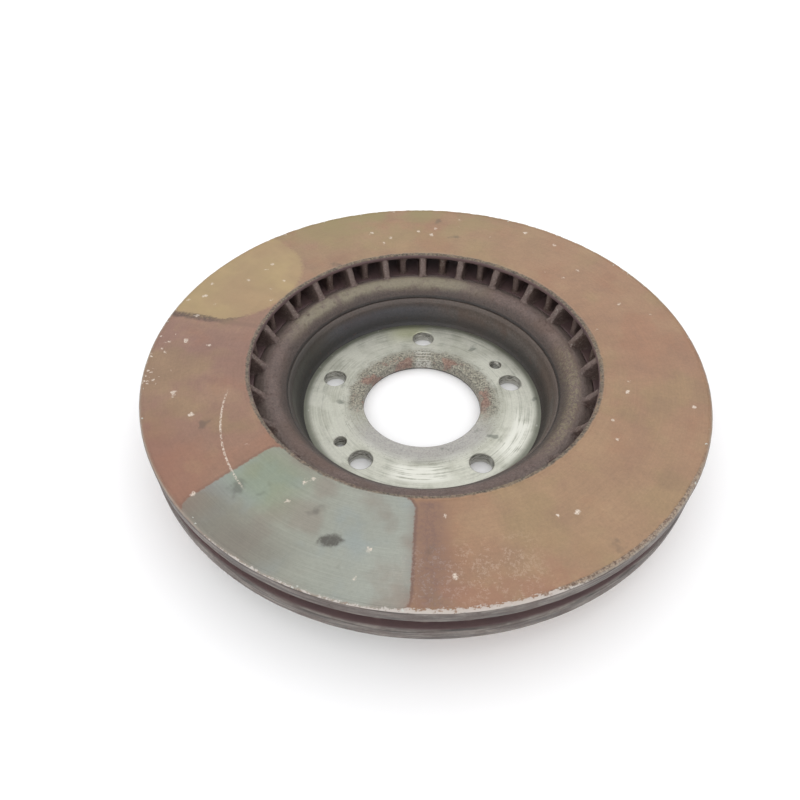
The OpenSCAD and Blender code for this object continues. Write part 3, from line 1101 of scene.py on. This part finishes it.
def neck_tones(b, colour, clouds, grit):
    """Adds the neck's beige crest, pale slope, sandy right side, painted shade in the groove and rusty
    underside.
    """
    point, radius, angle, height = b.place()
    beige = b.times(b.between(angle, 70, 158, 30), b.between(radius, 81.5, 90, 4))
    beige = b.times(beige, b.fade(b.noise(point, 0.09, 4, 0.6), 0.36, 0.56, 0.15, 0.95))
    colour = b.mix(beige, colour, b.tint(paint(160, 152, 134), grit, 0.7))
    slope = b.between(radius, 89.5, 98, 3)
    colour = b.mix(b.times(slope, 0.6), colour, b.tint(paint(146, 134, 128), grit, 0.9))
    turn = b.put("ShaderNodeMath", b.plus(angle, 180), 360, operation="MODULO").outputs[0]
    golden = b.times(b.between(turn, 140, 196, 22), b.between(radius, 79.5, 88.5, 3))
    sand = b.rust(0.62, 3.2)
    golden = b.times(golden, b.times(sand["Cover"], 0.8))
    colour = b.mix(golden, colour, b.tint(paint(160, 150, 126), sand["Height"], 1.2))
    lower = b.fade(b.plus(radius, b.scaled(clouds, 3, -1.5)), 84, 79.5)
    colour = b.mix(b.times(lower, 0.75), colour, b.tint(paint(92, 79, 73), grit, 1.2))
    # painted shade in the undercut groove
    groove = b.between(radius, GROOVE_R - 4, GROOVE_R + 0.9, 0.8)
    colour = b.mix(b.times(groove, 0.8), colour, paint(58, 52, 49))
    under = b.fade(height, PLATE_Z + 3.2, PLATE_Z + 0.5)
    colour = b.mix(b.times(under, b.fade(radius, HAT_R - 1.5, HAT_R + 0.5)), colour, paint(104, 80, 66))
    return colour


def vane_tones(b, colour, clouds, grit):
    """Adds painted shade further into the channels between the vanes, and a painted glint on their free ends.
    """
    radius = b.where["Radius"]
    # painted shade further into the channels, where the plates keep the light off
    channel_shade = b.fade(radius, 97, 106)
    colour = b.mix(b.times(channel_shade, 0.8), colour, paint(124, 106, 104))
    # painted glint: spots on the free ends of the vanes made lighter, as where light falls on them
    glint = b.fade(b.plus(grit, b.scaled(clouds, 0.3, -0.15)), 0.56, 0.66)
    colour = b.mix(b.times(glint, b.minus(0.6, channel_shade)), colour, paint(176, 170, 164))
    return colour


def wall_tones(b, colour, colours, grit):
    """Adds the hat wall's tints, painted shade at the foot and on the left of its inside, and its turned
    outside.
    """
    _, radius, angle, height = b.place()
    inside = b.minus(1, b.fade(radius, HAT_R - 3.5, HAT_R - 2.2))
    low = b.times(b.fade(height, SEAT_Z + 11.5, SEAT_Z + 3.5), inside)
    top = b.times(b.fade(height, SEAT_Z + 10, SEAT_Z + 16), inside)
    # painted shade at the foot of the inside wall
    dark = b.times(low, b.scaled(b.between(angle, 350, 361, 30), 0.05, 0.75))
    blue = b.between(angle, 85, 150, 35)
    colour = b.mix(b.times(blue, 0.55), colour, paint(100, 105, 116))
    green = b.between(angle, 150, 200, 30)
    colour = b.mix(b.times(green, 0.5), colour, paint(112, 118, 110))
    # painted shadow on the left of the wall's top
    shadow = b.times(b.between(angle, 148, 250, 30), 0.4)
    joint = b.mix(shadow, b.tint(paint(114, 104, 98), grit, 1.4), paint(84, 76, 72))
    colour = b.mix(b.times(top, 0.8), colour, joint)
    # painted shade on the left side of the inside wall
    side = b.times(b.between(angle, 148, 250, 30), inside)
    colour = b.mix(b.times(side, 0.6), colour, paint(78, 74, 70))
    colour = b.mix(dark, colour, paint(52, 50, 47))
    outside = b.minus(1, inside)
    turned_rings = b.rings(1.6, 0.02, "Point")
    colour = b.mix(outside, colour, b.tint(paint(118, 104, 94), turned_rings, 0.6))
    colour = b.mix(b.fade(height, 0.7, 0.3), colour, wheel_side(b, colours))
    return colour


def cast_iron(name, colours, kind):
    """Finish of raw iron: the neck, the vanes, or the dull hat wall."""
    made, shader, b = new_finish(name)
    point = b.where["Point"]
    skin = b.use(b.effects["skin"], Point=point, Grain=1)
    clouds = b.noise(point, 0.045, 4, 0.55)
    base = tuple(colours.wall if kind == "wall" else colours.skin)
    grit = b.noise(point, 0.8, 4, 0.75)
    colour = b.tint(base, skin["Tone"], 1)
    colour = b.tint(colour, grit, 2)
    colour = b.mix(b.fade(clouds, 0.46, 0.62, 0, 0.5), colour, paint(122, 104, 94))
    rust = b.rust(0.42, 1.6)
    if kind == "neck":
        colour = neck_tones(b, colour, clouds, grit)
    if kind == "vane":
        colour = vane_tones(b, colour, clouds, grit)
    if kind == "wall":
        colour = wall_tones(b, colour, colours, grit)
    amount = 0.5 if kind == "wall" else 0.35
    colour = b.mix(b.times(rust["Cover"], amount), colour, b.tint(tuple(colours.rust), rust["Height"], 1))
    rough = b.scaled(skin["Tone"], 0.3, 0.45)
    height_all = b.plus(skin["Height"], b.times(rust["Cover"], 0.3))
    finish(b, shader, colour, rough, b.times(skin["Tone"], 0.2), height_all, 0.6 if kind != "wall" else 0.25)
    return made


def seat_patterns(b):
    """The patterns that the layers of the flange's finish share."""
    point, radius, angle, height = b.place()
    return SimpleNamespace(
        point=point, radius=radius, angle=angle, height=height, rings=b.rings(1.1, 1.6),
        fine=b.rings(4, 3), clouds=b.noise(point, 0.05, 4, 0.6), grit=b.noise(point, 0.9, 3, 0.75),
    )


def seat_colour(b, colours, p):
    """Bright turned iron with smears and brushed streaks, painted highlights at the front and front-right,
    and painted shade where it meets the hat wall.
    """
    point, radius, angle, clouds, grit = p.point, p.radius, p.angle, p.clouds, p.grit
    rings, fine = p.rings, p.fine
    colour = b.tint(tuple(colours.seat), clouds, 0.36)
    colour = b.mix(b.fade(b.noise(point, 0.07, 3, 0.5), 0.45, 0.62, 0, 0.6), colour, paint(190, 190, 176))
    smear = b.noise(point, 0.09, 5, 0.6)
    brushed = b.plus(rings, b.scaled(smear, 0.7, -0.35))
    colour = b.mix(b.fade(brushed, 0.52, 0.66, 0, 0.7), colour, paint(222, 223, 210))
    colour = b.mix(b.fade(brushed, 0.46, 0.30, 0, 0.42), colour, paint(152, 155, 144))
    mottle = b.times(b.between(radius, 38, 50, 6), b.fade(grit, 0.5, 0.66))
    colour = b.mix(b.times(mottle, 0.5), colour, paint(120, 118, 106))
    lilac = b.times(b.between(angle, 215, 335, 30), b.fade(radius, 50, 41))
    colour = b.mix(b.times(lilac, 0.7), colour, paint(204, 201, 202))
    colour = b.tint(colour, fine, 0.3)
    colour = b.tint(colour, grit, 0.42)
    # painted highlights: near-white streaks on the turned rings at the front and front-right
    painted_shine = b.times(b.between(angle, 254, 286, 12), b.between(radius, 50, 61, 4))
    more = b.times(b.between(angle, 318, 352, 16), b.between(radius, 56, 66, 4))
    painted_shine = b.times(b.most(painted_shine, more), b.fade(brushed, 0.36, 0.52))
    colour = b.mix(b.times(painted_shine, 0.95), colour, paint(250, 250, 240))
    yellow = b.times(b.between(angle, 90, 110, 14), b.fade(radius, 50, 64))
    colour = b.mix(b.times(yellow, 0.5), colour, paint(190, 192, 140))
    # painted shade where the hub face meets the hat wall
    dull = b.times(b.fade(radius, 66, 70), 0.8)
    colour = b.mix(dull, colour, paint(112, 114, 102))
    return colour


def with_bore_rust(b, colours, p, colour):
    """Adds the ring that the hub's spigot kept wet: brown and red rust, thinner at the front."""
    bare = tuple(colours.bare)
    point, radius, angle, grit, rings = p.point, p.radius, p.angle, p.grit, p.rings
    edge = b.plus(radius, b.scaled(b.noise(point, 0.16, 4, 0.6), 10, -5))
    edge = b.plus(edge, b.scaled(grit, 4, -2))
    wet = b.fade(edge, 47.5, 42)
    front = b.between(angle, 196, 345, 30)
    wet = b.times(wet, b.scaled(front, -0.7, 1))
    rust = b.rust(0.55, 1.7)
    stain = b.mix(b.fade(grit, 0.32, 0.68), paint(96, 90, 80), paint(204, 200, 182))
    red = b.noise(point, 0.085, 3, 0.6)
    redder = b.times(b.fade(b.plus(red, b.scaled(grit, 0.3, -0.15)), 0.535, 0.60), b.fade(radius, 43, 39))
    redder = b.times(redder, b.scaled(front, -0.9, 1))
    stain = b.mix(b.times(redder, 0.55), stain, b.tint(tuple(colours.fresh_rust), grit, 1.2))
    stain = b.mix(b.times(rust["Cover"], 0.25), stain, b.tint(tuple(colours.rust), rust["Height"], 1.1))
    colour = b.mix(b.times(wet, 0.9), colour, stain)
    spots = b.chips(9, 0.07)
    colour = b.mix(b.times(spots, 0.5), colour, paint(88, 100, 92))
    glints = b.times(b.between(angle, 83, 97, 7), b.between(radius, 30, 49, 5))
    glints = b.times(glints, b.fade(b.plus(rings, b.scaled(grit, 0.4, -0.2)), 0.44, 0.56))
    colour = b.mix(b.times(glints, 0.8), colour, paint(226, 224, 214))
    chips = b.chips(2, 0.03)
    colour = b.mix(b.times(chips, 0.5), colour, bare)
    return colour, wet, rust, stain, glints


def with_holes(b, colours, p, colour, stain, glints):
    """Adds the walls of the holes, painted lighter towards their foot as light from the floor, a painted
    shade line near the foot of the bore, and the wheel face under them.
    """
    point, radius, height = p.point, p.radius, p.height
    inside = b.times(b.fade(height, SEAT_Z - 0.2, SEAT_Z - 0.7), b.fade(height, 0.2, 0.7))
    bore = b.fade(radius, BORE_R + 1.2, BORE_R + 0.6)
    drilled = b.noise(b.stretch(point, (0.25, 0.25, 1.8)), 1, 4, 0.7)
    hole = b.mix(b.fade(drilled, 0.36, 0.62), paint(104, 102, 96), paint(222, 220, 210))
    # painted light from the floor: the hole walls lighter towards their foot
    hole = b.mix(b.fade(height, 3.5, 0.6), hole, b.tint(paint(228, 227, 220), drilled, 0.6))
    hole = b.mix(bore, hole, b.mix(0.8, hole, stain))
    hole = b.mix(b.times(glints, bore), hole, paint(232, 230, 222))
    # painted shade: a dark line near the foot of the bore wall
    hole = b.mix(b.times(bore, b.between(height, 0.5, 1.3, 0.3)), hole, paint(40, 38, 38))
    colour = b.mix(inside, colour, hole)
    below = b.fade(height, 0.3, 0.05)
    colour = b.mix(below, colour, wheel_side(b, colours))
    return colour, below


def turned_seat(name, colours):
    """Finish of the flange: bright turned iron, a rusty ring at the bore and worn holes."""
    made, shader, b = new_finish(name)
    p = seat_patterns(b)
    colour, wet, rust, stain, glints = with_bore_rust(b, colours, p, seat_colour(b, colours, p))
    colour, below = with_holes(b, colours, p, colour, stain, glints)

    metal = b.times(b.minus(1, b.times(wet, 0.85)), 0.55)
    metal = b.times(metal, b.scaled(below, -0.8, 1))
    rough = b.scaled(p.clouds, 0.2, 0.30)
    rough = b.plus(rough, b.times(wet, 0.25))
    lift = b.plus(b.times(p.rings, 0.4), b.times(p.fine, 0.3))
    lift = b.plus(lift, b.times(b.times(rust["Height"], wet), 1.6))
    finish(b, shader, colour, rough, metal, lift, 0.07)
    return made


# ---------------------------------------------------------------- operators


def swung(first, second, angle):
    """Two directions at right angles, turned together by an angle from the first to the second."""
    cos, sin = math.cos(angle), math.sin(angle)
    return first * cos + second * sin, second * cos - first * sin


class DISC_OT_stage(bpy.types.Operator):
    """Make the plain floor, the soft lamps and the camera"""

    bl_idname = "disc.stage"
    bl_label = "Studio"

    def execute(self, context):
        colours = context.scene.disc_colours
        made, b, shader = new_material("Floor paint", 1.45)
        b.feed(shader.inputs["Base Color"], tuple(colours.floor))
        b.feed(shader.inputs["Roughness"], 0.9)
        floor = bpy.data.meshes.new("floor")
        signs = ((-1, -1), (1, -1), (1, 1), (-1, 1))
        corners = [(x * FLOOR_HALF, y * FLOOR_HALF, CAD_BOX[0].z) for x, y in signs]
        floor.from_pydata(corners, [], [(0, 1, 2, 3)])
        floor.materials.append(made)
        stand = bpy.data.objects.new("floor", floor)
        context.scene.collection.objects.link(stand)

        def lamp(name, place, size, power):
            light = bpy.data.lights.new(name, "AREA")
            light.shape, light.size = "DISK", size
            light.energy = power
            holder = bpy.data.objects.new(name, light)
            holder.location = place
            holder.rotation_mode = "QUATERNION"
            holder.rotation_quaternion = (-Vector(place)).to_track_quat("-Z", "Y")
            context.scene.collection.objects.link(holder)

        lamp("key_lamp", (0.7, 0.9, 1.7), 2.0, 4.0)
        lamp("fill_lamp", (-0.8, -1.2, 0.7), 1.4, 4.0)
        world = bpy.data.worlds.new("Studio light")
        context.scene.world = world
        world.use_nodes = True
        back = world.node_tree.nodes["Background"]
        back.inputs["Color"].default_value = (1, 1, 1, 1)
        back.inputs["Strength"].default_value = 1.16
        context.scene.view_settings.view_transform = "Standard"

        # the camera looks down at the hub face from the front, turned a little to the left
        back_to = Vector((0, -math.cos(TILT), math.sin(TILT)))
        right = Vector((1, 0, 0))
        up = back_to.cross(right)
        right, up = swung(right, up, ROLL)
        ahead = -back_to
        ahead, right = swung(ahead, right, -AIM_RIGHT)
        ahead, up = swung(ahead, up, AIM_UP)
        lens = bpy.data.cameras.new("camera")
        lens.sensor_width, lens.lens = SENSOR, LENS
        lens.clip_start, lens.clip_end = 0.01, 30
        camera = bpy.data.objects.new("camera", lens)
        turn = Matrix((right, up, -ahead)).transposed().to_4x4()
        camera.matrix_world = Matrix.Translation(back_to * VIEW_FAR + Vector((0, 0, SEAT_Z * MM))) @ turn
        context.scene.collection.objects.link(camera)
        context.scene.camera = camera
        return {"FINISHED"}


class DISC_OT_plates(bpy.types.Operator):
    """Make the two friction plates, with worn tracks, scored rings and decayed rims"""

    bl_idname = "disc.plates"
    bl_label = "Friction plates"

    def execute(self, context):
        sizes, colours = context.scene.disc_sizes, context.scene.disc_colours
        up = plate_section(ROOF_Z, TOP_Z, INNER_R, inlet=(INNER_R, INLET_Z))
        down = plate_section(PLATE_Z, FLOOR_Z, NECK_R, face_up=False)
        for name, section, face, out, inner, node in (
            ("inboard_friction_plate", up, TOP_Z, 1, INNER_R, "inboard_plate"),
            ("outboard_friction_plate", down, PLATE_Z, -1, NECK_R, "outboard_plate"),
        ):
            material = rubbed_iron("Rubbed iron, " + ("inboard" if out > 0 else "outboard"), colours, out > 0)
            shape = rounded(section, bend=sizes.edge_round, step=PLATE_STEP)
            mesh = turned(name, shape, material, worn_plate(sizes, face, out, inner), sizes.turns)
            show(name, mesh, [node])
        return {"FINISHED"}


class DISC_OT_neck(bpy.types.Operator):
    """Make the cast neck with its groove, crest and slope"""

    bl_idname = "disc.neck"
    bl_label = "Neck"

    def execute(self, context):
        sizes, colours = context.scene.disc_sizes, context.scene.disc_colours
        corners = [
            (GROOVE_R, WALL_Z), (HAT_R, WALL_Z), (HAT_R, PLATE_Z + 2.7), (84.5, PLATE_Z + 1.5),
            (86.0, PLATE_Z), (NECK_R, PLATE_Z), (NECK_R, FLOOR_Z), (CREST_OUT_R + 0.6, CREST_Z - 0.4),
            (CREST_IN_R + 0.6, CREST_Z - 0.1), (83.5, CREST_Z - 2.0), (GROOVE_R + 3.2, WALL_Z + 4.6),
            (GROOVE_R + 0.2, WALL_Z + 1.1),
        ]
        shape = rounded(corners, bend=1.6, step=CAST_STEP)

        def smooth(radius, height):
            return np.maximum(window(radius, NECK_R - 0.4, 999, 0.4), window(height, -9, WALL_Z + 0.3, 0.5))

        mesh = turned("neck_casting", shape, cast_iron("Casting skin, neck", colours, "neck"),
                      raw_casting(sizes.cast_lumps, 11, smooth), sizes.turns // 2)
        show("neck_casting", mesh, ["neck"])
        return {"FINISHED"}


class DISC_OT_hat(bpy.types.Operator):
    """Make the drum-shaped wall of the hat"""

    bl_idname = "disc.hat"
    bl_label = "Hat wall"

    def execute(self, context):
        sizes, colours = context.scene.disc_sizes, context.scene.disc_colours
        corners = [
            (SEAT_R, 0), (HAT_R - 2, 0), (HAT_R, 2), (HAT_R, WALL_Z),
            (77.4, WALL_Z), (75.9, 22.6), (75.5, 19.5), (74.6, 15.5), (73.5, 12.5), (72.3, 9.2),
            (71.3, SEAT_Z + 0.35), (SEAT_R, SEAT_Z),
        ]
        shape = rounded(corners, bend=0.7, step=CAST_STEP)

        def smooth(radius, height):
            inside, outside = window(radius, -9, SEAT_R + 0.5, 0.4), window(radius, HAT_R - 3, 999, 0.5)
            return np.maximum.reduce([inside, outside, window(height, -9, 3, 0.8)])

        mesh = turned("hat_drum", shape, cast_iron("Dull iron, hat wall", colours, "wall"),
                      raw_casting(sizes.cast_lumps * 0.45, 21, smooth), sizes.turns // 2)
        show("hat_drum", mesh, ["hat_wall"])
        return {"FINISHED"}


class DISC_OT_flange(bpy.types.Operator):
    """Make the mounting flange with its bore, stud holes and threaded jacking holes"""

    bl_idname = "disc.flange"
    bl_label = "Mounting flange"

    def execute(self, context):
        sizes, colours = context.scene.disc_sizes, context.scene.disc_colours
        mesh = flange_mesh("flange", turned_seat("Turned iron, hub face", colours), sizes)
        show("flange", mesh, ["mounting_flange"])
        return {"FINISHED"}


class DISC_OT_vanes(bpy.types.Operator):
    """Make the long and the short cooling vanes, set evenly round the axis"""

    bl_idname = "disc.vanes"
    bl_label = "Cooling vanes"

    def execute(self, context):
        sizes, colours = context.scene.disc_sizes, context.scene.disc_colours
        material = cast_iron("Casting skin, vanes", colours, "vane")
        for name, prefix, start, roof, ridge_end, nose, shift, seed in (
            ("long_cooling_vanes", "long_vane_", LONG_R, long_roof, INNER_R, False, 0.0, 7),
            ("short_cooling_vanes", "short_vane_", SHORT_R, plate_roof, 0.0, True, 0.5, 19),
        ):
            nodes = family(prefix)
            verts, faces = vane_grid(start, neck_floor, roof, ridge_end, sizes, nose)
            one = finished_mesh(name, verts, faces, material, sharp=60)
            step = 2 * math.pi / len(nodes)
            values = {
                "Copies": len(nodes), "First angle": math.radians(FIRST_VANE) + shift * step,
                "Wander": 0.004, "Seed": seed, "Lumps": 6 * sizes.cast_lumps * MM, "Finish": material,
            }
            show(name, copies_round(name, one, values), nodes)
        return {"FINISHED"}


STEPS = (DISC_OT_stage, DISC_OT_plates, DISC_OT_neck, DISC_OT_hat, DISC_OT_flange, DISC_OT_vanes)


class DISC_PT_panel(bpy.types.Panel):
    """Lists the steps that build the disc, and its sizes and colours"""

    bl_idname = "DISC_PT_panel"
    bl_label = "Brake disc"
    bl_space_type = "VIEW_3D"
    bl_region_type = "UI"
    bl_category = "Brake disc"

    def draw(self, context):
        for step in STEPS:
            self.layout.operator(step.bl_idname)
        for group in (context.scene.disc_sizes, context.scene.disc_colours):
            box = self.layout.box()
            for name in group.__annotations__:
                box.prop(group, name)


CLASSES = (DiscSizes, DiscColours, *STEPS, DISC_PT_panel)


def register():
    for each in CLASSES:
        bpy.utils.register_class(each)
    bpy.types.Scene.disc_sizes = bpy.props.PointerProperty(type=DiscSizes)
    bpy.types.Scene.disc_colours = bpy.props.PointerProperty(type=DiscColours)


def unregister():
    del bpy.types.Scene.disc_sizes
    del bpy.types.Scene.disc_colours
    for each in reversed(CLASSES):
        bpy.utils.unregister_class(each)


def main():
    register()
    for step in STEPS:
        group, name = step.bl_idname.split(".")
        getattr(getattr(bpy.ops, group), name)()


if __name__ == "__main__":
    main()
